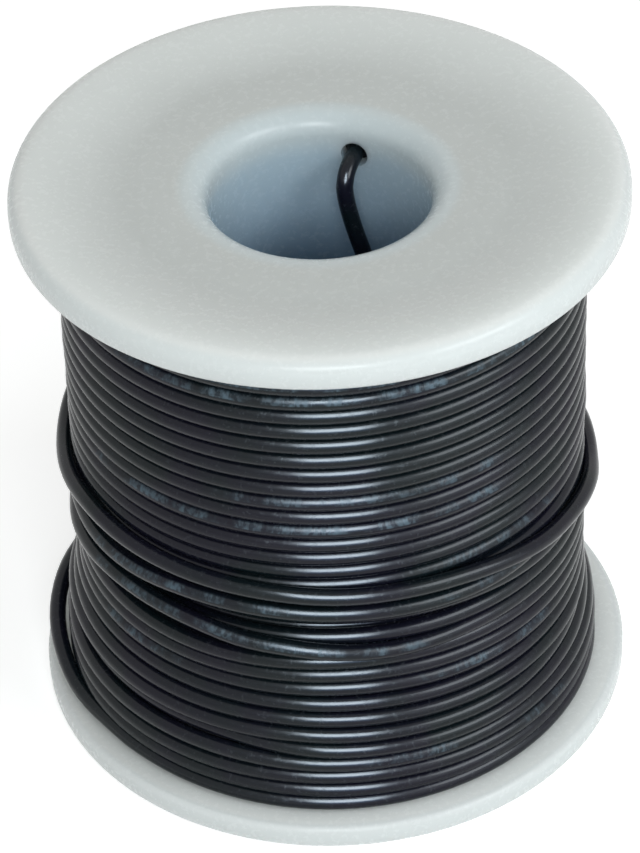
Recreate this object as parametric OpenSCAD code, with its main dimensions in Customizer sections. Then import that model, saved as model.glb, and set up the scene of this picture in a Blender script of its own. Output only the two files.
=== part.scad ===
// Flanged wire spool wound with insulated hook-up wire.
// Millimetres, +Z up, origin at the centre of the lower rim's resting circle.
// The spool is two moulded halves that join in the middle of the hollow barrel.
// The wire starts inside the bore, passes a hole in the barrel, fills the
// barrel layer by layer and ends on the outside near the lower flange.

/* [Spool] */
// Diameter of both flanges
flange_d = 70; // [68:1:90]
// Height over both rims
spool_h = 72; // [62:1:100]
// Diameter of the through bore that a rod carries
bore_d = 25.4; // [20:0.1:30]
// Wall of the hollow barrel
barrel_wall = 1.8; // [1.6:0.1:3]
// Radius of the rounded lip where the bore opens into a face
lip_round = 2.5; // [1:0.1:2.6]

/* [Flange] */
// Thickness of a flange at its rim
rim_t = 3.7; // [3.2:0.1:5]
// Depth of the flat face below the rim's crest
face_dish = 1.5; // [0.8:0.1:1.8]
// Radius of the rim's rounded outer and inner shoulders
rim_round = 1.9; // [1.2:0.1:2.3]
// Width of the flat land that the spool rests on
rim_land = 0.8; // [0.4:0.1:2]
// Radius of the sweep from the flat face up to the rim
dish_sweep = 3; // [1.5:0.1:5]
// Radius at the rim's edge on the winding side
edge_round = 0.7; // [0.3:0.1:1]
// Fillet where the barrel meets a flange
root_fillet = 0.8; // [0.3:0.1:1.5]

/* [Barrel joint] */
// Overlap of the step joint between the halves
joint_depth = 3; // [1.5:0.5:6]
// Clearance between the two steps
joint_clearance = 0.05; // [0.02:0.01:0.15]
// Chamfer on the joint's edges inside the bore
joint_chamfer = 0.4; // [0.2:0.1:0.6]

/* [Wire hole] */
// Diameter of the hole that the wire starts through
wire_hole_d = 3.2; // [2.8:0.1:4]
// Distance of the hole's centre from the upper flange
wire_hole_drop = 2.7; // [2.3:0.1:3.2]
// Direction of the hole round the barrel, in degrees from +X
wire_hole_angle = 71; // [69:1:73]

/* [Wire] */
// Diameter over the insulation
wire_d = 2; // [1.4:0.1:2.4]
// Diameter of one copper strand
strand_d = 0.38; // [0.2:0.02:0.4]
// How far the bare strands stand out of a cut end
strand_out = 0.6; // [0.3:0.1:3]

/* [Winding] */
// Diameter over the outer layer of turns
layer_d = 60.2; // [50:0.2:63]
// How much further out the last turns by the lower flange lie
rim_build = 2.6; // [1.5:0.1:4]
// Number of those last turns
rim_turns = 3.5; // [2:0.5:6]
// Height of the middle of the turns that stand proud of the layer
proud_turns_z = 33; // [24:1:44]
// Number of proud turns
proud_turns = 2; // [1:0.5:3]
// How far they stand proud
proud_rise = 1.7; // [0.5:0.1:3]
// Clearance between the winding and the spool
winding_clearance = 0.1; // [0.05:0.05:0.3]

/* [Hidden] */
$fn = 96;
cut = 1;

flange_r = flange_d / 2;
bore_r = bore_d / 2;
barrel_r = bore_r + barrel_wall;
joint_r = bore_r + barrel_wall / 2;
joint_z = spool_h / 2;

// The rim's crest, from the outer shoulder's centre to the inner one's
outer_shoulder_r = flange_r - rim_round;
inner_shoulder_r = outer_shoulder_r - rim_land;
// Where the sweep leaves the inner shoulder: both arcs share one tangent there
sweep_angle = acos((rim_round + dish_sweep - face_dish) / (rim_round + dish_sweep));
sweep_r = inner_shoulder_r - (rim_round + dish_sweep) * sin(sweep_angle);
tangent_r = inner_shoulder_r - rim_round * sin(sweep_angle);
tangent_z = rim_round * (1 - cos(sweep_angle));

wire_hole_z = spool_h - rim_t - wire_hole_drop;

// The winding's space between the flanges
winding_low = rim_t + winding_clearance;
winding_high = spool_h - rim_t - winding_clearance;
core_in_r = barrel_r + winding_clearance;
turn_r = (layer_d - wire_d) / 2;
// Rings of the tube lie on a circle, so its straight stretches run inside it
rings_per_turn = 24;
stretch_sag = (turn_r + rim_build) * (1 - cos(180 / rings_per_turn));
core_r = turn_r - wire_d / 2 - stretch_sag - winding_clearance;
turn_gap = 0.5;
turn_room = winding_high - winding_low - wire_d;
turns = min(24, floor(turn_room / (wire_d + turn_gap)));
turn_pitch = turn_room / turns;
first_turn_z = winding_high - wire_d / 2;
rise_turns = 0.5;
rim_start = turns - rim_turns;
proud_start = (first_turn_z - proud_turns_z) / turn_pitch - proud_turns / 2;
first_turn_angle = 100;
core_cone_z = first_turn_z - turn_pitch * rim_start - wire_d / 4;

// Centre line of the wire's inner end: out of the barrel's wall and down the bore
inner_end_route = [
    [4.7, 13.7, 65.6], [4.1, 11.9, 65.6], [3.6, 10.6, 65.4], [3.2, 9.6, 64.9], [3.0, 9.0, 64.2],
    [2.9, 8.7, 63.2], [3.1, 8.5, 61.4], [3.5, 8.3, 59.5], [4.0, 8.0, 57.6], [4.6, 7.7, 55.6],
    [5.2, 7.4, 53.6], [5.8, 7.1, 51.4], [6.3, 6.8, 49.0], [6.7, 6.5, 46.6], [6.9, 6.2, 44.2],
    [7.0, 5.9, 41.6], [7.0, 5.7, 39.6]
];

function unit(v) = v / norm(v);
function smooth_step(x) = let (t = max(0, min(1, x))) t * t * (3 - 2 * t);

// Direction of a path at point i: towards the next point at both ends, else the mean
function path_direction(path, i) =
    i == 0 ? unit(path[1] - path[0])
    : i == len(path) - 1 ? unit(path[i] - path[i - 1])
    : unit(unit(path[i] - path[i - 1]) + unit(path[i + 1] - path[i]));

function path_ring(path, i, radius, sides, reference) =
    let (along = path_direction(path, i),
         across = unit(cross(along, reference)),
         outward = cross(across, along))
    [for (k = [0 : sides - 1])
        let (a = 360 * (k + 0.5) / sides)
        path[i] + radius * (cos(a) * outward + sin(a) * across)];

// A round wire along a path, closed at both ends, all faces triangles.
// The reference direction is never parallel to the path.
module wire_along(path, diameter, sides, reference) {
    rings = len(path);
    points = [for (i = [0 : rings - 1])
        for (p = path_ring(path, i, diameter / 2, sides, reference)) p];
    walls = [for (i = [0 : rings - 2])
        for (k = [0 : sides - 1])
            let (a = i * sides + k,
                 b = i * sides + (k + 1) % sides)
            for (face = [[a, a + sides, b], [b, a + sides, b + sides]]) face];
    first_end = [for (k = [1 : sides - 2]) [0, k, k + 1]];
    last_base = (rings - 1) * sides;
    last_end = [for (k = [1 : sides - 2]) [last_base, last_base + k + 1, last_base + k]];
    polyhedron(points, concat(walls, first_end, last_end), convexity = 10);
}

// Radius and point of the winding's centre line after u turns from the top
function turn_radius(u) = turn_r
    + rim_build * smooth_step((u - rim_start) / rise_turns)
    + proud_rise * (smooth_step((u - proud_start) / rise_turns + 0.5)
        - smooth_step((u - proud_start - proud_turns) / rise_turns + 0.5));
function turn_point(u) =
    let (a = first_turn_angle - 360 * u, r = turn_radius(u))
    [r * cos(a), r * sin(a), first_turn_z - turn_pitch * u];

// The turns, with both ends running straight on for one wire diameter
turn_path =
    let (round_part = [for (i = [0 : turns * rings_per_turn])
            turn_point(i / rings_per_turn)],
         last = len(round_part) - 1,
         onward = [sin(first_turn_angle), -cos(first_turn_angle), 0])
    concat([round_part[0] - wire_d * onward], round_part, [round_part[last] + wire_d * onward]);
last_turn_end = turn_path[len(turn_path) - 1];

// Least gap between a turn and the next, over every pair of nearby rings
least_turn_gap = min([for (i = [0 : len(turn_path) - rings_per_turn + 1])
    for (j = [i + rings_per_turn - 2 : min(i + rings_per_turn + 2, len(turn_path) - 1)])
        norm(turn_path[i] - turn_path[j])]) - wire_d;
echo(turns = turns, turn_pitch = turn_pitch, least_turn_gap = least_turn_gap);

// Takes a square corner off as an arc; dx and dy point from the corner into the material
module rounded_off(corner, radius, dx, dy) {
    centre = corner + [dx * radius, dy * radius];
    outside = corner - [dx * cut, dy * cut];
    difference() {
        translate([min(centre[0], outside[0]), min(centre[1], outside[1])])
            square(radius + cut);
        translate(centre) circle(radius);
    }
}

// The empty space in front of a flange's face, inside the rim's crest
module dish_space() {
    difference() {
        union() {
            translate([0, -cut]) square([sweep_r, face_dish + cut]);
            polygon([[sweep_r - cut, -cut], [sweep_r - cut, face_dish], [sweep_r, face_dish],
                [tangent_r, tangent_z], [inner_shoulder_r, 0], [inner_shoulder_r, -cut]]);
            intersection() {
                translate([sweep_r, face_dish - dish_sweep]) circle(dish_sweep);
                translate([sweep_r, tangent_z]) square([tangent_r - sweep_r, face_dish]);
            }
        }
        translate([inner_shoulder_r, rim_round]) circle(rim_round);
    }
}

// Half of the spool in section, rim down; top is how far up its barrel reaches
module half_section(top) {
    difference() {
        union() {
            translate([bore_r, 0]) square([flange_r - bore_r, rim_t]);
            translate([bore_r, 0]) square([barrel_wall, top]);
            difference() {
                translate([barrel_r - cut, rim_t - cut]) square(root_fillet + cut);
                translate([barrel_r + root_fillet, rim_t + root_fillet]) circle(root_fillet);
            }
        }
        dish_space();
        rounded_off([flange_r, 0], rim_round, -1, 1);
        rounded_off([flange_r, rim_t], edge_round, -1, -1);
        rounded_off([bore_r, face_dish], lip_round, 1, 1);
    }
}

// What breaks the joint's edge inside the bore
module joint_edge() {
    polygon([
        [bore_r - cut, joint_z + cut],
        [bore_r - cut, joint_z - joint_chamfer],
        [bore_r, joint_z - joint_chamfer],
        [bore_r + joint_chamfer, joint_z],
        [bore_r + joint_chamfer, joint_z + cut]
    ]);
}

// The lower half carries the outer step, which reaches past the middle
module lower_spool_half() {
    color("#dfe5e3")
    rotate_extrude() {
        difference() {
            half_section(joint_z + joint_depth - joint_clearance);
            translate([0, joint_z]) square([joint_r + joint_clearance, joint_depth + cut]);
            joint_edge();
        }
    }
}

// The upper half carries the inner step, and the hole that the wire starts through
module upper_spool_half() {
    color("#dfe5e3")
    difference() {
        translate([0, 0, spool_h])
        mirror([0, 0, 1])
        rotate_extrude() {
            difference() {
                half_section(joint_z);
                translate([joint_r, joint_z - joint_depth])
                    square([barrel_wall, joint_depth + cut]);
                joint_edge();
            }
        }
        translate([0, 0, wire_hole_z])
        rotate([0, 0, wire_hole_angle])
        rotate([0, 90, 0])
            cylinder(d = wire_hole_d, h = barrel_r + root_fillet + cut);
    }
}

// The full layers under the outer one, as one plain body that keeps their outline
module wire_inner_layers() {
    corner = root_fillet + winding_clearance;
    color("#22252a")
    rotate_extrude()
        polygon([
            [core_in_r + corner, winding_low],
            [core_r + rim_build, winding_low],
            [core_r + rim_build, core_cone_z - rim_build],
            [core_r, core_cone_z],
            [core_r, winding_high],
            [core_in_r + corner, winding_high],
            [core_in_r, winding_high - corner],
            [core_in_r, winding_low + corner]
        ]);
}

// The turns that show, one unbroken wire from under the upper flange downwards
module wire_outer_layer() {
    color("#1d2025")
        wire_along(turn_path, wire_d, 6, [0, 0, 1]);
}

// Seven bare strands that start on a cut end and point along its wire
module copper_strands(end, direction) {
    lie = strand_d + 0.02;
    color("#b87a4b")
    translate(end)
    rotate([0, acos(direction[2]), atan2(direction[1], direction[0])]) {
        cylinder(d = strand_d, h = strand_out, $fn = 24);
        for (k = [0 : 5])
            rotate([0, 0, 60 * k])
            translate([lie, 0, 0])
                cylinder(d = strand_d, h = strand_out, $fn = 24);
    }
}

module wire_outer_end_copper() {
    copper_strands(last_turn_end, path_direction(turn_path, len(turn_path) - 1));
}

// The wire's first stretch, through the barrel's hole and down inside the bore
module wire_inner_end() {
    color("#1d2025")
        wire_along(inner_end_route, wire_d, 8, [1, 0, 0]);
}

module wire_inner_end_copper() {
    last = len(inner_end_route) - 1;
    copper_strands(inner_end_route[last], path_direction(inner_end_route, last));
}

lower_spool_half();
upper_spool_half();
wire_inner_layers();
wire_outer_layer();
wire_outer_end_copper();
wire_inner_end();
wire_inner_end_copper();
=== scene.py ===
import math

import bmesh
import bpy
import numpy as np
from mathutils import Matrix, Vector


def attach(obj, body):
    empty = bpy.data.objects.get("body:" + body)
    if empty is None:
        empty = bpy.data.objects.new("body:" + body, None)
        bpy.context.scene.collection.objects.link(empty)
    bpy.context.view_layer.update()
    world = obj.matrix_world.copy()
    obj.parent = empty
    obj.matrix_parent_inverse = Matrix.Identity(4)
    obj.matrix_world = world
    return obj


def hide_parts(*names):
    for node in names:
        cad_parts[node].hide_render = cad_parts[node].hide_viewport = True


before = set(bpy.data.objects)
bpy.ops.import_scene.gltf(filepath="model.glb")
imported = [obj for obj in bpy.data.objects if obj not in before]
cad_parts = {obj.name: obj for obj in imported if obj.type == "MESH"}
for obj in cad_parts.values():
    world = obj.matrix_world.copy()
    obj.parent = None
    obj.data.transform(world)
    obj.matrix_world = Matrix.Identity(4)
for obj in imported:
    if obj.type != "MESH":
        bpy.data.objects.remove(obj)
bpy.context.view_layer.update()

mm = 0.001
root = "root"


def report(words):
    print("[wire spool]", words)


camera = {
    "centre": (0.0, 0.0, 36.04),  # mm, the middle of the spool
    "distance": 493.82,           # mm
    "elevation": 38.8946,         # degrees
    "roll": -2.0448,              # degrees
    "aim": (-0.914, -0.551),      # mm to the right of the centre and above it
    "lens": 177.87,
    "sensor": 36.0,
    "clip": (0.01, 20.0),         # m
}


def makeCamera(c):
    e, roll = math.radians(c["elevation"]), math.radians(c["roll"])
    forward = Vector((0, math.cos(e), -math.sin(e)))
    right, up = Vector((1, 0, 0)), Vector((0, math.sin(e), math.cos(e)))
    tiltedRight = math.cos(roll) * right + math.sin(roll) * up
    tiltedUp = -math.sin(roll) * right + math.cos(roll) * up
    centre = Vector(c["centre"])
    place = centre - forward * c["distance"]
    aim = centre + tiltedRight * c["aim"][0] + tiltedUp * c["aim"][1]
    back = (place - aim).normalized()
    side = (tiltedRight - back * tiltedRight.dot(back)).normalized()
    top = back.cross(side)
    data = bpy.data.cameras.new("viewCamera")
    data.lens, data.sensor_width = c["lens"], c["sensor"]
    data.clip_start, data.clip_end = c["clip"]
    made = bpy.data.objects.new("viewCamera", data)
    bpy.context.scene.collection.objects.link(made)
    turned = Matrix((side, top, back)).transposed().to_4x4()
    made.matrix_world = Matrix.Translation(place * mm) @ turned
    bpy.context.scene.camera = made


makeCamera(camera)
report("camera set")


# small helpers for node trees: an output is linked, a plain value is set
def feed(tree, node, inputs):
    for key, value in inputs.items():
        if isinstance(value, bpy.types.NodeSocket):
            tree.links.new(value, node.inputs[key])
        else:
            node.inputs[key].default_value = value


def addNode(tree, kind, inputs=None, **settings):
    made = tree.nodes.new(kind)
    for key, value in settings.items():
        setattr(made, key, value)
    feed(tree, made, inputs or {})
    return made


def mathNode(tree, operation, *values, clamp=False):
    inputs = dict(enumerate(values))
    made = addNode(tree, "ShaderNodeMath", inputs, operation=operation, use_clamp=clamp)
    return made.outputs[0]


def plus(tree, a, b, clamp=False):
    return mathNode(tree, "ADD", a, b, clamp=clamp)


def times(tree, a, b, clamp=False):
    return mathNode(tree, "MULTIPLY", a, b, clamp=clamp)


def rangeNode(tree, value, low, high, outLow=0.0, outHigh=1.0, smooth=True):
    made = addNode(tree, "ShaderNodeMapRange", {
        "Value": value, "From Min": low, "From Max": high, "To Min": outLow, "To Max": outHigh},
        interpolation_type="SMOOTHSTEP" if smooth else "LINEAR")
    return made.outputs["Result"]


def mixColour(tree, factor, a, b):
    # inputs 0, 6 and 7 of a Mix node are its factor and its two colours
    made = addNode(tree, "ShaderNodeMix", data_type="RGBA")
    a, b = [(*colour, 1.0) if isinstance(colour, tuple) else colour for colour in (a, b)]
    feed(tree, made, {0: factor, 6: a, 7: b})
    return made.outputs[2]


def newMaterial(name):
    made = bpy.data.materials.new(name)
    made.use_nodes = True
    return made


insulation = newMaterial("blackInsulation")
copper = newMaterial("copperStrands")
natural = newMaterial("naturalPlastic")

wire = {"diameter": 2.0, "sides": 14}  # mm, and the faces round it


def wireTree(name, upright):
    # a round tube along a line, which keeps its own places along and around it for the material
    tree = bpy.data.node_groups.new(name, "GeometryNodeTree")
    for label, way, kind in (
        ("Geometry", "INPUT", "NodeSocketGeometry"),
        ("Wire Diameter", "INPUT", "NodeSocketFloat"),
        ("Sides", "INPUT", "NodeSocketInt"),
        ("Insulation", "INPUT", "NodeSocketMaterial"),
        ("Geometry", "OUTPUT", "NodeSocketGeometry"),
    ):
        tree.interface.new_socket(name=label, in_out=way, socket_type=kind)
    given = tree.nodes.new("NodeGroupInput").outputs
    curve = addNode(tree, "GeometryNodeMeshToCurve", {"Mesh": given["Geometry"]})
    normal = addNode(tree, "GeometryNodeSetCurveNormal", {"Curve": curve.outputs["Curve"]},
                     mode="Z_UP" if upright else "MINIMUM_TWIST")
    half = times(tree, given["Wire Diameter"], 0.5)
    ring = addNode(tree, "GeometryNodeCurvePrimitiveCircle",
                   {"Resolution": given["Sides"], "Radius": half}, mode="RADIUS")
    place = tree.nodes.new("GeometryNodeInputPosition").outputs[0]
    scaled = addNode(tree, "ShaderNodeVectorMath", {0: place, 1: half}, operation="DIVIDE")
    around = addNode(tree, "GeometryNodeStoreNamedAttribute",
                     data_type="FLOAT_VECTOR", domain="POINT")
    feed(tree, around, {"Geometry": ring.outputs["Curve"], "Name": "around",
                        "Value": scaled.outputs[0]})
    length = tree.nodes.new("GeometryNodeSplineParameter").outputs["Length"]
    along = addNode(tree, "GeometryNodeStoreNamedAttribute", data_type="FLOAT", domain="POINT")
    feed(tree, along, {"Geometry": normal.outputs["Curve"], "Name": "along", "Value": length})
    sweep = addNode(tree, "GeometryNodeCurveToMesh",
                    {"Curve": along.outputs["Geometry"],
                     "Profile Curve": around.outputs["Geometry"], "Fill Caps": True})
    smooth = addNode(tree, "GeometryNodeSetShadeSmooth", {"Geometry": sweep.outputs["Mesh"]})
    real = addNode(tree, "GeometryNodeRealizeInstances", {"Geometry": smooth.outputs["Geometry"]})
    paint = addNode(tree, "GeometryNodeSetMaterial",
                    {"Geometry": real.outputs["Geometry"], "Material": given["Insulation"]})
    addNode(tree, "NodeGroupOutput", {"Geometry": paint.outputs["Geometry"]})
    return tree


def runTree(source, tree, values):
    step = source.modifiers.new("build", "NODES")
    step.node_group = tree
    for item in tree.interface.items_tree:
        if item.item_type == "SOCKET" and item.in_out == "INPUT" and item.name in values:
            step[item.identifier] = values[item.name]
    depsgraph = bpy.context.evaluated_depsgraph_get()
    made = bpy.data.meshes.new_from_object(
        source.evaluated_get(depsgraph), preserve_all_data_layers=True, depsgraph=depsgraph)
    source.modifiers.clear()
    return made


def sweepWire(name, points, tree, marks=None):
    line = bpy.data.meshes.new(name + "Path")
    edges = [(i, i + 1) for i in range(len(points) - 1)]
    line.from_pydata([tuple(p) for p in points], edges, [])
    if marks is not None:
        stored = line.attributes.new("mark", "FLOAT", "POINT")
        stored.data.foreach_set("value", np.asarray(marks, np.float32))
    made = bpy.data.objects.new(name, line)
    bpy.context.scene.collection.objects.link(made)
    made.data = runTree(made, tree, {"Wire Diameter": wire["diameter"] * mm,
                                     "Sides": wire["sides"], "Insulation": insulation})
    made.data.name = name
    bpy.data.meshes.remove(line)
    return made


uprightSweep = wireTree("sweepAroundSpool", True)
freeSweep = wireTree("sweepFree", False)

# the inner end: in from the winding through the barrel's hole, then down the bore, mm
innerEnd = {
    "route": [
        (4.7, 13.7, 65.6), (4.1, 11.9, 65.6), (3.6, 10.6, 65.4), (3.2, 9.6, 64.9),
        (3.0, 9.0, 64.2), (2.9, 8.7, 63.2), (3.1, 8.5, 61.4), (3.5, 8.3, 59.5),
        (4.0, 8.0, 57.6), (4.6, 7.7, 55.6), (5.2, 7.4, 53.6), (5.8, 7.1, 51.4),
        (6.3, 6.8, 49.0), (6.7, 6.5, 46.6), (6.9, 6.2, 44.2), (7.0, 5.9, 41.6),
        (7.0, 5.7, 39.6),
    ],
    "length": 30.74,
    "steps": 6,  # between one point of the route and the next
}


def smoothRoute(points, steps):
    # one smooth curve through every point, with a point added past each end to steer it
    p = [Vector(q) for q in points]
    p = [p[0] * 2 - p[1]] + p + [p[-1] * 2 - p[-2]]
    out = []
    for i in range(1, len(p) - 2):
        for s in range(steps):
            t = s / steps
            out.append(0.5 * ((2 * p[i]) + (p[i + 1] - p[i - 1]) * t
                              + (2 * p[i - 1] - 5 * p[i] + 4 * p[i + 1] - p[i + 2]) * t * t
                              + (3 * p[i] - p[i - 1] - 3 * p[i + 1] + p[i + 2]) * t ** 3))
    return out + [p[-2]]


innerRoute = [q * mm for q in smoothRoute(innerEnd["route"], innerEnd["steps"])]
wireInnerEnd = sweepWire("wireInnerEnd", innerRoute, freeSweep)
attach(wireInnerEnd, root)
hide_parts("wire_inner_end")
report("inner end of the wire")

# The wound wire, from its start by the lower flange to its cut end at the back.
# Angles are degrees round the spool from the front (-Y), positive to the right (+X),
# and heights and radii are those of the wire's middle, in mm.
winding = {
    "stepsPerTurn": 120,
    "lowest": 4.7, "highest": 67.3, "pitch": 2.0,
    "layerRadius": 29.1,
    # near the lower flange the layer stands further out: the radius there,
    # the height above which it doesn't and the height below which it fully does
    "build": (31.15, 21.5, 11.5),
    "buildRight": (30.5, 14.5, 8.5),
    # buildRight comes in between the first two of these angles and goes out between the last
    "rightSide": (20, 95, 105, 165),
    "columns": (-90, -60, -30, 0, 30, 60, 90),
    # heights of the lower turns at those angles, pushed about by the last strands
    "loose": [
        (6.6, 6.6, 6.6, 6.65, 6.65, 6.6, 6.6),
        (8.6, 8.6, 8.6, 8.6, 8.45, 8.45, 8.45),
        (10.7, 10.8, 11.0, 10.8, 10.15, 10.3, 10.3),
        (12.75, 12.85, 12.9, 12.7, 12.4, 12.2, 12.15),
        (14.6, 14.7, 14.7, 14.45, 14.2, 14.1, 14.0),
        (16.6, 16.7, 16.7, 16.47, 16.1, 15.95, 15.85),
        (18.3, 18.4, 18.5, 18.48, 18.1, 17.85, 17.7),
        (20.0, 20.1, 20.2, 20.6, 20.15, 19.75, 19.55),
        (21.9, 22.0, 22.15, 22.6, 22.15, 21.65, 21.45),
        (23.9, 24.1, 24.3, 24.7, 24.2, 23.55, 23.35),
        (26.0, 28.2, 28.5, 28.4, 28.0, 27.4, 27.2),
        (30.0, 30.7, 31.6, 31.5, 30.8, 29.35, 29.1),
        (33.85, 34.1, 34.25, 34.3, 34.0, 33.7, 33.6),
    ],
    # heights at the front of the turns above them, which lie side by side
    "even": [36.4, 38.25, 40.2, 42.2, 44.1, 46.1, 48.1, 50.1,
             52.1, 54.2, 56.3, 58.3, 60.3, 62.3, 64.3, 66.3],
    # one turn is drawn in at the left: its number, its radius there and
    # the angles between which it comes out again
    "drawnIn": (3, 30.1, -30, 0),
    # angle, height and radius: at the wire's start, on the way back down,
    # and along each of the last strands, which cross over the layer
    "start": [(-186, 4.7, 29.4), (-150, 5.2, 30.0), (-120, 6.1, 30.9)],
    "downTheBack": [(110, 67.2, 29.1), (128, 65.5, 30.4), (145, 61.5, 31.1),
                    (180, 53.0, 31.1), (220, 43.5, 31.1), (245, 37.2, 31.0)],
    "lastTurns": [
        [(-90, 35.4, 30.8), (-75, 36.0, 30.9), (-60, 36.8, 30.95), (-30, 36.6, 31.05),
         (-10, 36.3, 31.0), (0, 36.0, 30.95), (20, 35.5, 30.9), (30, 35.0, 30.8),
         (40, 34.4, 30.85), (50, 33.6, 30.9), (60, 32.8, 30.8), (75, 31.7, 30.8),
         (90, 30.5, 30.55), (130, 30.7, 31.0), (180, 31.2, 31.1), (230, 31.7, 30.9)],
        [(-90, 31.9, 29.6), (-75, 32.15, 29.95), (-60, 32.5, 30.4), (-50, 32.9, 30.6),
         (-30, 33.8, 30.95), (0, 33.35, 30.7), (20, 32.9, 30.4), (30, 32.6, 30.2),
         (40, 32.2, 29.8), (50, 31.8, 29.4), (60, 31.55, 29.2), (75, 31.6, 29.1),
         (90, 31.7, 29.1), (110, 31.8, 30.6), (125, 31.5, 32.4), (140, 30.9, 33.0),
         (155, 30.3, 32.9), (175, 29.6, 32.0), (200, 29.2, 31.2), (240, 29.0, 31.0)],
        [(-90, 28.0, 29.75), (-75, 28.75, 30.25), (-60, 29.6, 30.7), (-50, 29.8, 30.85),
         (-40, 29.6, 30.85), (-30, 29.4, 31.0), (-20, 28.7, 31.1), (-10, 28.3, 31.05),
         (0, 27.65, 30.85), (10, 26.95, 30.5), (20, 26.45, 29.9), (30, 26.1, 29.4),
         (40, 25.8, 29.2), (60, 25.45, 29.1), (90, 25.3, 29.1), (108, 24.9, 30.2),
         (125, 23.6, 31.0), (160, 19.0, 31.2), (200, 13.0, 32.9), (225, 9.6, 33.15)],
        [(-115, 8.1, 33.3), (-105, 7.9, 33.6), (-97, 7.4, 33.7), (-90, 6.9, 33.6),
         (-83, 6.4, 33.3), (-75, 5.7, 32.8), (-70, 5.2, 32.4), (-65, 4.85, 31.95),
         (-60, 4.7, 31.6), (-50, 4.7, 31.35), (-30, 4.7, 31.2), (0, 4.7, 31.25),
         (30, 4.7, 31.1), (60, 4.7, 30.8), (90, 4.7, 30.55), (140, 4.7, 31.1),
         (165, 4.75, 31.65)],
    ],
    # the cut end: the turns stop short of it, and a straight piece fills most of that run
    "endPoint": (-2.944, 31.669, 4.8),
    "endDirection": (-0.9848, -0.1736, 0.0),
    "endRun": 6.0, "endStraight": 0.8, "endPoints": 8,
    # how unevenly the turns lie, and how those that overlap are eased apart
    "settling": {
        "seed": 7,
        "uneven": (0.05, 0.045),      # in height and in radius
        "waves": 24, "waveCounts": (10, 130),
        "rounds": 160,
        "fade": 0.94,                 # share of the easing that stays from round to round
        "smoothing": 0.35,
        "push": 0.8,                  # share of an overlap that one round takes away
        "lateShare": (0.85, 0.15),    # how a late strand and an early turn divide it
        "lateFrom": 180,              # degrees past the front of the top turn
        "held": 10,                   # points by the cut end, eased less and less
        "deepest": -0.3,              # furthest that a turn is pressed inwards
        "farAway": 1000.0,            # place for the points that fill up the last turn
    },
    # worn print: turn number from the bottom, from and to angle, strength
    "print": [
        (26, -50, 60, 1.0), (27, -45, 60, 1.0), (19, -25, 40, 0.6), (17, -62, 40, 0.9),
        (13, 20, 60, 0.5), (30, -62, -8, 0.9), (30, 20, 45, 0.5), (31, -60, 20, 0.7),
        (7, -62, -38, 0.8), (7, 19, 57, 0.7), (2, 5, 25, 0.8), (1, 42, 60, 0.5),
    ],
    "printFade": 3,                   # degrees at each end
}


def smoothStep(t):
    t = np.clip(t, 0, 1)
    return t * t * (3 - 2 * t)


def layerRadius(z, angle):
    w, z = winding, np.asarray(z, float)
    a = (np.asarray(angle, float) + 180) % 360 - 180
    start, full, leave, end = w["rightSide"]
    toRight = np.where(a < full, smoothStep((a - start) / (full - start)),
                       1 - smoothStep((a - leave) / (end - leave)))
    left, right = [w["layerRadius"] + (radius - w["layerRadius"])
                   * smoothStep((top - z) / (top - bottom))
                   for radius, top, bottom in (w["build"], w["buildRight"])]
    return left + (right - left) * toRight


def hermite(x, y, at):
    # a smooth curve through the knots that doesn't swing past them
    rise = np.diff(y) / np.diff(x)
    steepest = 3 * np.minimum(np.abs(rise[1:]), np.abs(rise[:-1]))
    gentle = np.sign(rise[1:]) * np.minimum(np.abs(np.gradient(y, x)[1:-1]), steepest)
    slope = np.hstack([rise[0], np.where(rise[1:] * rise[:-1] > 0, gentle, 0), rise[-1]])
    i = np.clip(np.searchsorted(x, at) - 1, 0, len(x) - 2)
    h = x[i + 1] - x[i]
    t = np.clip((at - x[i]) / h, 0, 1)
    return (y[i] * (2 * t ** 3 - 3 * t ** 2 + 1) + h * slope[i] * (t ** 3 - 2 * t ** 2 + t)
            + y[i + 1] * (3 * t ** 2 - 2 * t ** 3) + h * slope[i + 1] * (t ** 3 - t ** 2))


def windingKnots(w):
    rows = list(w["loose"])
    rows += [[z + w["pitch"] * a / 360 for a in w["columns"]] for z in w["even"]]
    turn, inside, low, high = w["drawnIn"]
    knots = list(w["start"])
    for k, row in enumerate(rows):
        for a, z in zip(w["columns"], row):
            r = float(layerRadius(z, a))
            if k == turn:
                r = min(r, inside + (r - inside) * float(smoothStep((a - low) / (high - low))))
            knots.append((360 * k + a, z, r))
    top = 360 * (len(rows) - 1)
    knots += [(top + a, z, r) for a, z, r in w["downTheBack"]]
    for n, strand in enumerate(w["lastTurns"]):
        knots += [(top + 360 * (n + 1) + a, z, r) for a, z, r in strand]
    return np.array(knots), top


def wander(count, rng):
    # a sum of waves along the wire
    s = winding["settling"]
    at, out = np.linspace(0, 1, count), np.zeros(count)
    for _ in range(s["waves"]):
        size, waves, shift = rng.normal(), rng.uniform(*s["waveCounts"]), rng.uniform()
        out += size * np.sin(2 * math.pi * (waves * at + shift))
    return out / math.sqrt(s["waves"] / 2)


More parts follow.
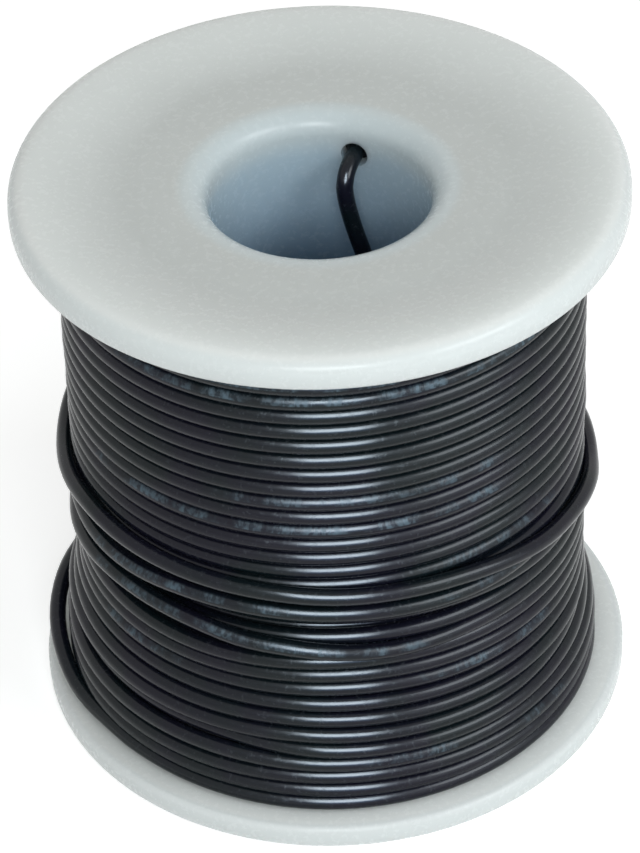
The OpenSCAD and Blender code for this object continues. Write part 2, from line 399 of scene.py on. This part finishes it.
def settleTurns(angle, r, z, loose):
    # turns that overlap are eased apart, the later strands most of all,
    # and the easing is kept smooth along the wire
    s, count, per = winding["settling"], len(angle), winding["stepsPerTurn"]
    rng = np.random.default_rng(s["seed"])
    wantZ = z + s["uneven"][0] * wander(count, rng)
    wantR = r + s["uneven"][1] * wander(count, rng)
    rows = -(-count // per)
    filler = s["farAway"] * (1 + np.arange(rows * per - count))
    late = (np.arange(rows) * per + per // 2) * (360 / per) + angle[0] > loose
    share = np.full((rows, rows), 0.5)
    share[late[:, None] & ~late[None]] = s["lateShare"][0]
    share[~late[:, None] & late[None]] = s["lateShare"][1]
    hold = np.clip((count - 1 - np.arange(count)) / s["held"], 0, 1)
    shift = np.zeros((2, count))
    for _ in range(s["rounds"]):
        shift *= s["fade"]
        level = 0.5 * (shift[:, 2:] + shift[:, :-2])
        shift[:, 1:-1] += s["smoothing"] * (level - shift[:, 1:-1])
        rr = np.concatenate([wantR + shift[0], filler]).reshape(rows, per)
        zz = np.concatenate([wantZ + shift[1], filler]).reshape(rows, per)
        dr, dz = rr[:, None] - rr[None], zz[:, None] - zz[None]
        apart = np.sqrt(dr * dr + dz * dz) + 1e-9
        push = np.clip(wire["diameter"] - apart, 0, None) * share[:, :, None] * s["push"]
        push[np.arange(rows), np.arange(rows)] = 0
        shift[0] += (push * dr / apart).sum(1).reshape(-1)[:count]
        shift[1] += (push * dz / apart).sum(1).reshape(-1)[:count]
        shift *= hold
        shift[0] = np.maximum(shift[0], s["deepest"])
    return wantR + shift[0], np.clip(wantZ + shift[1], winding["lowest"], winding["highest"])


def aroundSpool(radius, angle, height):
    turn = np.radians(angle)
    return np.stack([radius * np.sin(turn), -radius * np.cos(turn), height], 1)


def windingLine(w):
    knots, top = windingKnots(w)
    ex, ey, _ = w["endPoint"]
    endAngle = math.degrees(math.atan2(ex, -ey)) % 360
    runAngle = math.degrees(w["endRun"] / math.hypot(ex, ey))
    lastAngle = top + 360 * len(w["lastTurns"]) + endAngle - runAngle
    angle = np.arange(w["start"][0][0], lastAngle, 360 / w["stepsPerTurn"])
    height = hermite(knots[:, 0], knots[:, 1], angle)
    radius = hermite(knots[:, 0], knots[:, 2], angle)
    radius, height = settleTurns(angle, radius, height, top + w["settling"]["lateFrom"])
    endPoint, direction = np.array(w["endPoint"]), np.array(w["endDirection"])
    left = np.linspace(w["endRun"] * w["endStraight"], 0, w["endPoints"])
    straight = [endPoint - direction * s for s in left]
    return angle, np.vstack([aroundSpool(radius, angle, height), straight])


def printMarks(w, angle, count):
    mark = np.zeros(count)
    for number, low, high, strength in w["print"]:
        a = angle - 360 * number
        inside = np.clip(np.minimum(a - low, high - a) / w["printFade"], 0, 1) * strength
        mark[:len(angle)] = np.maximum(mark[:len(angle)], inside)
    return mark


windingAngle, windingRoute = windingLine(winding)
marks = printMarks(winding, windingAngle, len(windingRoute))
wireWinding = sweepWire("wireWinding", windingRoute * mm, uprightSweep, marks)
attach(wireWinding, root)
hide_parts("wire_outer_layer")
report(f"winding: {len(wireWinding.data.polygons)} faces, {len(windingRoute)} points")

# the layer beneath, one turn in each groove, and a plain core inside it, mm
inner = {
    "rise": 1.74,  # from this layer to the one on it
    "pitch": 2.0, "low": 4.75, "high": 67.25,
    "stepsPerTurn": 96,
    "coreInset": 0.35, "coreInner": 14.6, "coreLow": 3.75, "coreHigh": 68.25,
    "coreSteps": 40, "coreSides": 96,
    "coreAngle": 95,  # where the layer stands out least
}


def makeInnerTurns(c):
    turns = (c["high"] - c["low"]) / c["pitch"]
    angle = np.arange(0, turns * 360 + 0.01, 360 / c["stepsPerTurn"])  # the last point too
    height = c["low"] + c["pitch"] * angle / 360
    radius = layerRadius(height, angle) - c["rise"]
    return sweepWire("wireInnerLayers", aroundSpool(radius, angle, height) * mm, uprightSweep)


def revolve(name, profile, sides, material):
    # a closed outline of radii and heights in mm, turned about the spool's axis
    profile = np.array(profile) * mm
    count = len(profile)
    turns = np.linspace(0, 2 * math.pi, sides, endpoint=False)
    points = [(r * math.cos(a), r * math.sin(a), h) for a in turns for r, h in profile]
    faces = []
    for i in range(sides):
        this, after = i * count, (i + 1) % sides * count
        for j in range(count):
            k = (j + 1) % count
            faces.append((this + j, after + j, after + k, this + k))
    data = bpy.data.meshes.new(name)
    data.from_pydata(points, [], faces)
    shape = bmesh.new()
    shape.from_mesh(data)
    bmesh.ops.recalc_face_normals(shape, faces=shape.faces)
    shape.to_mesh(data)
    shape.free()
    data.materials.append(material)
    data.shade_smooth()
    made = bpy.data.objects.new(name, data)
    bpy.context.scene.collection.objects.link(made)
    return made


def makeCore(c):
    heights = np.linspace(c["coreLow"], c["coreHigh"], c["coreSteps"])
    radii = layerRadius(heights, c["coreAngle"]) - c["rise"] - c["coreInset"]
    inside = [(c["coreInner"], c["coreHigh"]), (c["coreInner"], c["coreLow"])]
    profile = np.vstack([np.stack([radii, heights], 1), inside])
    return revolve("wireCore", profile, c["coreSides"], insulation)


wireInnerLayers = makeInnerTurns(inner)
core = makeCore(inner)
for piece in (wireInnerLayers, core):
    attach(piece, root)
    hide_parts("wire_inner_layers")
report("inner layers")

# the two moulded halves, outlined with the rim down, mm
spool = {
    "flangeRadius": 35.0, "height": 72.0, "boreRadius": 12.7, "barrelWall": 1.8,
    "rimThickness": 3.7, "faceDepth": 1.5,
    "dish": (21.5, 33.1),            # radii between which the face rises to the rim
    "rimRound": 1.9, "edgeRound": 0.7, "lipRound": 2.5, "rootFillet": 0.8,
    "jointRadius": 13.6, "jointDepth": 3.0, "jointClearance": 0.05, "jointChamfer": 0.4,
    "hole": (3.2, 65.6, 71.0),       # diameter, height, degrees round from +X
    "cutter": (4.0, 1.0, 48),        # how far it reaches in and out past the wall, and its sides
    "sides": 192, "sharpAngle": 32,
    "broadSteps": 10, "narrowSteps": 5, "dishSteps": 30,
}


def arc(r, z, radius, fromAngle, toAngle, steps):
    angles = np.radians(np.linspace(fromAngle, toAngle, steps + 1))
    return [(r + radius * math.cos(a), z + radius * math.sin(a)) for a in angles]


def halfOutline(s, outerStep):
    bore, middle, thick, depth = s["boreRadius"], s["height"] / 2, s["rimThickness"], s["faceDepth"]
    lip, rim, edge, fillet = s["lipRound"], s["rimRound"], s["edgeRound"], s["rootFillet"]
    flange, barrel, joint = s["flangeRadius"], bore + s["barrelWall"], s["jointRadius"]
    broad, narrow, clear = s["broadSteps"], s["narrowSteps"], s["jointClearance"]
    chamfer, (low, high) = s["jointChamfer"], s["dish"]
    outline = arc(bore + lip, depth + lip, lip, 180, 270, broad)
    outline += [(r, depth * float(1 - smoothStep((r - low) / (high - low))))
                for r in np.linspace(low, high, s["dishSteps"])[:-1]]
    outline += arc(flange - rim, rim, rim, 270, 360, broad)
    outline += arc(flange - edge, thick - edge, edge, 0, 90, narrow)
    outline += arc(barrel + fillet, thick + fillet, fillet, 270, 180, narrow)
    if outerStep:
        joint, stepTop = joint + clear, middle + s["jointDepth"] - clear
    else:
        stepTop = middle - s["jointDepth"]
    outline += [(barrel, stepTop), (joint, stepTop), (joint, middle)]
    return outline + [(bore + chamfer, middle), (bore, middle - chamfer)]


def cutHole(target, s):
    diameter, height, angle = s["hole"]
    reachIn, reachOut, sides = s["cutter"]
    near, far = s["boreRadius"] - reachIn, s["boreRadius"] + s["barrelWall"] + reachOut
    place = (Matrix.Translation((0, 0, height * mm))
             @ Matrix.Rotation(math.radians(angle), 4, "Z")
             @ Matrix.Translation(((near + far) / 2 * mm, 0, 0))
             @ Matrix.Rotation(math.radians(90), 4, "Y"))
    radius = diameter / 2 * mm
    shape = bmesh.new()
    bmesh.ops.create_cone(shape, cap_ends=True, segments=sides, radius1=radius,
                          radius2=radius, depth=(far - near) * mm, matrix=place)
    data = bpy.data.meshes.new("holeCutter")
    shape.to_mesh(data)
    shape.free()
    cutter = bpy.data.objects.new("holeCutter", data)
    bpy.context.scene.collection.objects.link(cutter)
    step = target.modifiers.new("hole", "BOOLEAN")
    step.operation, step.solver, step.object = "DIFFERENCE", "EXACT", cutter
    depsgraph = bpy.context.evaluated_depsgraph_get()
    made = bpy.data.meshes.new_from_object(target.evaluated_get(depsgraph), depsgraph=depsgraph)
    target.modifiers.clear()
    target.data = made
    bpy.data.objects.remove(cutter)
    bpy.data.meshes.remove(data)


lowerHalf = revolve("spoolLowerHalf", halfOutline(spool, True), spool["sides"], natural)
upturned = [(r, spool["height"] - z) for r, z in halfOutline(spool, False)]
upperHalf = revolve("spoolUpperHalf", upturned, spool["sides"], natural)
cutHole(upperHalf, spool)
for half, node in ((lowerHalf, "lower_spool_half"), (upperHalf, "upper_spool_half")):
    half.data.shade_smooth()
    half.data.set_sharp_from_angle(angle=math.radians(spool["sharpAngle"]))
    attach(half, root)
    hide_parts(node)
report("spool halves")

# wear that all three finishes share: a broad cloud, and fine scuffs of the given grain
fineWear = {
    "cloudScale": 90.0, "cloudDetail": 4.0,
    "scuffDetail": 5.0, "scuffRoughness": 0.65, "scuffRange": (0.5, 0.75),
}


def wearGroup(c):
    tree = bpy.data.node_groups.new("fineWear", "ShaderNodeTree")
    for label, way, kind in (
        ("Vector", "INPUT", "NodeSocketVector"),
        ("Grain", "INPUT", "NodeSocketFloat"),
        ("Cover", "INPUT", "NodeSocketFloat"),
        ("Cloud", "OUTPUT", "NodeSocketFloat"),
        ("Scuff", "OUTPUT", "NodeSocketFloat"),
    ):
        tree.interface.new_socket(name=label, in_out=way, socket_type=kind)
    given = tree.nodes.new("NodeGroupInput").outputs
    cloud = addNode(tree, "ShaderNodeTexNoise", {
        "Vector": given["Vector"], "Scale": c["cloudScale"], "Detail": c["cloudDetail"]})
    fine = addNode(tree, "ShaderNodeTexNoise", {
        "Vector": given["Vector"], "Scale": given["Grain"], "Detail": c["scuffDetail"],
        "Roughness": c["scuffRoughness"]})
    scuff = rangeNode(tree, fine.outputs["Fac"], *c["scuffRange"])
    addNode(tree, "NodeGroupOutput", {
        "Cloud": cloud.outputs["Fac"], "Scuff": times(tree, scuff, given["Cover"])})
    return tree


wear = wearGroup(fineWear)


def useWear(tree, c):
    where = tree.nodes.new("ShaderNodeTexCoord").outputs["Object"]
    made = addNode(tree, "ShaderNodeGroup", node_tree=wear)
    feed(tree, made, {"Vector": where, "Grain": c["grain"], "Cover": c["cover"]})
    return where, made.outputs["Cloud"], made.outputs["Scuff"]


def bumpNode(tree, c, height):
    strength, distance = c["bump"]
    inputs = {"Strength": strength, "Distance": distance * mm, "Height": height}
    return addNode(tree, "ShaderNodeBump", inputs).outputs["Normal"]


plasticFinish = {
    # the milky plastic's own colour with light and shade painted in. The web gets painted shade
    # where the black winding lies behind the translucent plastic, and the rim gets painted light
    # where none does. The outer edge gets a little painted shade against the lamps' light on it.
    # The lip and throat get a painted bluish light, and the barrel gets painted shade that deepens
    # down the bore.
    "shadedWeb": (0.62, 0.645, 0.63), "rim": (0.80, 0.825, 0.81), "edge": (0.71, 0.75, 0.748),
    "lip": (0.635, 0.69, 0.695), "throat": (0.59, 0.655, 0.672),
    "barrel": (0.475, 0.59, 0.665), "shadedDeep": (0.178, 0.272, 0.38),
    "scuffed": (0.86, 0.88, 0.88),
    # radii in mm between which each of these takes over
    "litRimFrom": (22.0, 34.5), "edgeFrom": (33.7, 34.6),
    "lipFrom": (16.5, 15.0), "throatFrom": (15.2, 13.8), "barrelFrom": (14.2, 12.95),
    # and distances from the middle of the spool's height
    "middle": 36.0, "barrelBelow": (32.6, 28.8), "shadedDeepBelow": (31.0, 13.0),
    "clouding": 0.3, "scuffing": 0.10,
    "roughness": 0.26, "scuffRoughness": 0.16,
    "grain": 1400.0, "cover": 0.6,
    "bump": (0.12, 0.1),             # strength, and height in mm
    "scatter": (0.9, 4.0),           # weight, and reach in mm
    "refraction": 1.5, "gloss": 0.35,
}


def finishPlastic(material, c):
    tree = material.node_tree
    where, cloud, scuff = useWear(tree, c)
    x, y, z = addNode(tree, "ShaderNodeSeparateXYZ", {"Vector": where}).outputs
    r = mathNode(tree, "SQRT", plus(tree, times(tree, x, x), times(tree, y, y)))

    def between(value, span, smooth=True):
        return rangeNode(tree, value, span[0] * mm, span[1] * mm, smooth=smooth)

    # painted light and shade: darker over the winding and whiter towards the rim, a little darker
    # on the outer edge, a painted bluish light over the lip and throat, and painted shade in the
    # barrel, darker further down
    clouding = times(tree, mathNode(tree, "SUBTRACT", cloud, 0.5), c["clouding"])
    toLitRim = plus(tree, between(r, c["litRimFrom"], smooth=False), clouding, clamp=True)
    face = mixColour(tree, toLitRim, c["shadedWeb"], c["rim"])
    for name in ("edge", "lip", "throat"):
        face = mixColour(tree, between(r, c[name + "From"]), face, c[name])
    off = mathNode(tree, "ABSOLUTE", mathNode(tree, "SUBTRACT", z, c["middle"] * mm))
    barrel = mixColour(tree, between(off, c["shadedDeepBelow"], smooth=False), c["barrel"], c["shadedDeep"])
    barrelShade = times(tree, between(off, c["barrelBelow"]), between(r, c["barrelFrom"]))
    colour = mixColour(tree, barrelShade, face, barrel)
    colour = mixColour(tree, times(tree, scuff, c["scuffing"]), colour, c["scuffed"])
    rough = plus(tree, c["roughness"], times(tree, scuff, c["scuffRoughness"]))
    weight, reach = c["scatter"]
    feed(tree, tree.nodes["Principled BSDF"], {
        "Base Color": colour, "Roughness": rough, "Normal": bumpNode(tree, c, cloud),
        "Subsurface Weight": weight, "Subsurface Radius": (1.0, 1.0, 1.0),
        "Subsurface Scale": reach * mm, "IOR": c["refraction"],
        "Specular IOR Level": c["gloss"]})


insulationFinish = {
    "green": (0.004, 0.008, 0.010), "purple": (0.006, 0.006, 0.013),
    "dust": (0.07, 0.08, 0.09), "print": (0.075, 0.115, 0.145),
    "cloudRange": (0.38, 0.62), "dusting": 0.16,
    "roughness": 0.2, "scuffRoughness": 0.22, "printRoughness": 0.3,
    "grain": 1600.0, "cover": 0.7,
    "bump": (0.15, 0.06),
    # worn print: a band on the upper side of the wire, broken by a fine and a coarse noise
    "band": ((0.0, 0.2), (0.95, 0.75)),  # from and to, in radii of the wire
    "bandStretch": 0.7,                  # mm that the noise runs across the wire's upper side
    "smearScale": 1700.0, "smearRange": (0.38, 0.66, 0.2, 1.0),
    "gapScale": 260.0, "gapRange": (0.38, 0.62), "noiseDetail": 2.0,
    "refraction": 1.53, "gloss": 0.2,
}


def finishInsulation(material, c):
    tree = material.node_tree
    _, cloud, scuff = useWear(tree, c)
    along, around, mark = [addNode(tree, "ShaderNodeAttribute", attribute_name=name).outputs
                           for name in ("along", "around", "mark")]
    side = addNode(tree, "ShaderNodeSeparateXYZ", {"Vector": around["Vector"]})
    up = times(tree, side.outputs["Y"], -1.0)
    across = times(tree, up, c["bandStretch"] * mm)
    place = addNode(tree, "ShaderNodeCombineXYZ", {"X": along["Fac"], "Y": across}).outputs[0]
    smear, gaps = [addNode(tree, "ShaderNodeTexNoise", {
        "Vector": place, "Scale": scale, "Detail": c["noiseDetail"]}).outputs["Fac"]
        for scale in (c["smearScale"], c["gapScale"])]
    broken = times(tree, rangeNode(tree, smear, *c["smearRange"]),
                   rangeNode(tree, gaps, *c["gapRange"]))
    lower, upper = c["band"]
    band = times(tree, rangeNode(tree, up, *lower), rangeNode(tree, up, *upper))
    ink = times(tree, broken, times(tree, band, mark["Fac"]), clamp=True)
    colour = mixColour(tree, rangeNode(tree, cloud, *c["cloudRange"]), c["green"], c["purple"])
    colour = mixColour(tree, times(tree, scuff, c["dusting"]), colour, c["dust"])
    colour = mixColour(tree, ink, colour, c["print"])
    rough = plus(tree, c["roughness"], times(tree, scuff, c["scuffRoughness"]))
    rough = plus(tree, rough, times(tree, ink, c["printRoughness"]))
    feed(tree, tree.nodes["Principled BSDF"], {
        "Base Color": colour, "Roughness": rough, "Normal": bumpNode(tree, c, cloud),
        "IOR": c["refraction"], "Specular IOR Level": c["gloss"]})


copperFinish = {
    "dark": (0.78, 0.40, 0.24), "light": (0.88, 0.54, 0.36), "tarnish": (0.42, 0.20, 0.12),
    "tarnishing": 0.5, "roughness": 0.25, "scuffRoughness": 0.3,
    "grain": 6000.0, "cover": 0.8,
}


def finishCopper(material, c):
    tree = material.node_tree
    _, cloud, scuff = useWear(tree, c)
    colour = mixColour(tree, cloud, c["dark"], c["light"])
    colour = mixColour(tree, times(tree, scuff, c["tarnishing"]), colour, c["tarnish"])
    rough = plus(tree, c["roughness"], times(tree, scuff, c["scuffRoughness"]))
    feed(tree, tree.nodes["Principled BSDF"], {
        "Base Color": colour, "Roughness": rough, "Metallic": 1.0})


finishPlastic(natural, plasticFinish)
finishInsulation(insulation, insulationFinish)
finishCopper(copper, copperFinish)
for name in ("wire_outer_end_copper", "wire_inner_end_copper"):
    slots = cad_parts[name].data.materials
    for i in range(len(slots)):
        slots[i] = copper
    if not len(slots):
        slots.append(copper)
report("finishes")

# floor, lights and background
studio = {
    "floor": (0.90, 0.90, 0.90), "floorReach": 3.0, "floorRoughness": 0.7, "floorGloss": 0.1,
    "lift": 0.52,                    # brightness added where the floor is seen
    "ambient": 0.38, "ambientTint": (1.0, 1.0, 0.97),
    "backdrop": (1.0, 1.0, 1.0),
    "lampTint": (0.93, 0.98, 1.0),
    "reach": 1.1,                    # m from the lamps to the middle of the spool
    "middle": (0, 0, 0.036),
    # azimuth to the right of the camera side, elevation, width and height in degrees, brightness
    "boxes": [(2.0, 34, 25, 15, 9.8), (58, 36, 30, 15, 7.4)],
    # panels that show only in the gloss of the wire, each with its colour
    "panels": [
        ((2.0, 36, 25, 38, 30.0), (0.74, 0.88, 1.0)),
        ((58, 36, 30, 28, 8.5), (0.82, 0.92, 1.0)),
        ((2.0, 6, 26, 46, 3.7), (0.33, 0.57, 1.0)),
        ((55, 10, 56, 60, 1.3), (0.85, 0.93, 1.0)),
    ],
}


def seenRays(tree):
    path = tree.nodes.new("ShaderNodeLightPath").outputs
    both = mathNode(tree, "MAXIMUM", path["Is Camera Ray"], path["Is Glossy Ray"])
    return mathNode(tree, "MAXIMUM", both, path["Is Transmission Ray"])


def makeFloor(c):
    far = c["floorReach"]
    data = bpy.data.meshes.new("floor")
    corners = [(-far, -far, 0), (far, -far, 0), (far, far, 0), (-far, far, 0)]
    data.from_pydata(corners, [], [(0, 1, 2, 3)])
    material = newMaterial("paleFloor")
    tree = material.node_tree
    shader = tree.nodes["Principled BSDF"]
    feed(tree, shader, {"Base Color": (*c["floor"], 1), "Roughness": c["floorRoughness"],
                        "Specular IOR Level": c["floorGloss"]})
    glow = addNode(tree, "ShaderNodeEmission", {"Strength": times(tree, seenRays(tree), c["lift"])})
    both = addNode(tree, "ShaderNodeAddShader", {0: shader.outputs[0], 1: glow.outputs[0]})
    feed(tree, tree.nodes["Material Output"], {"Surface": both.outputs[0]})
    data.materials.append(material)
    made = bpy.data.objects.new("floor", data)
    bpy.context.scene.collection.objects.link(made)


def makeLight(name, place, tint, receivers=None):
    azimuth, elevation, wide, tall, bright = place
    a, e = math.radians(azimuth), math.radians(elevation)
    away = Vector((math.sin(a) * math.cos(e), -math.cos(a) * math.cos(e), math.sin(e)))
    data = bpy.data.lights.new(name, "AREA")
    data.shape = "RECTANGLE"
    data.size = 2 * studio["reach"] * math.tan(math.radians(wide / 2))
    data.size_y = 2 * studio["reach"] * math.tan(math.radians(tall / 2))
    data.energy = bright * math.pi * data.size * data.size_y
    data.color = tint
    made = bpy.data.objects.new(name, data)
    made.location = Vector(studio["middle"]) + away * studio["reach"]
    made.rotation_euler = away.to_track_quat("Z", "Y").to_euler()
    made.visible_camera = False
    if receivers:
        made.visible_diffuse = False
        made.light_linking.receiver_collection = receivers
    bpy.context.scene.collection.objects.link(made)


def makeLights(c):
    for number, place in enumerate(c["boxes"]):
        makeLight(f"softbox{number}", place, c["lampTint"])
    shiny = bpy.data.collections.new("shinyPieces")
    for piece in (wireWinding, wireInnerLayers, core, wireInnerEnd):
        shiny.objects.link(piece)
    for number, (place, tint) in enumerate(c["panels"]):
        makeLight(f"panel{number}", place, tint, shiny)


def makeWorld(c):
    world = bpy.data.worlds.new("studio")
    world.use_nodes = True
    tree = world.node_tree
    tree.nodes.clear()
    light, plain = [addNode(tree, "ShaderNodeBackground", {"Color": (*colour, 1), "Strength": s})
                    for colour, s in ((c["ambientTint"], c["ambient"]), (c["backdrop"], 1.0))]
    mix = addNode(tree, "ShaderNodeMixShader",
                  {0: seenRays(tree), 1: light.outputs[0], 2: plain.outputs[0]})
    addNode(tree, "ShaderNodeOutputWorld", {"Surface": mix.outputs[0]})
    bpy.context.scene.world = world


makeFloor(studio)
makeLights(studio)
makeWorld(studio)
bpy.context.scene.view_settings.view_transform = "Standard"
report("studio")
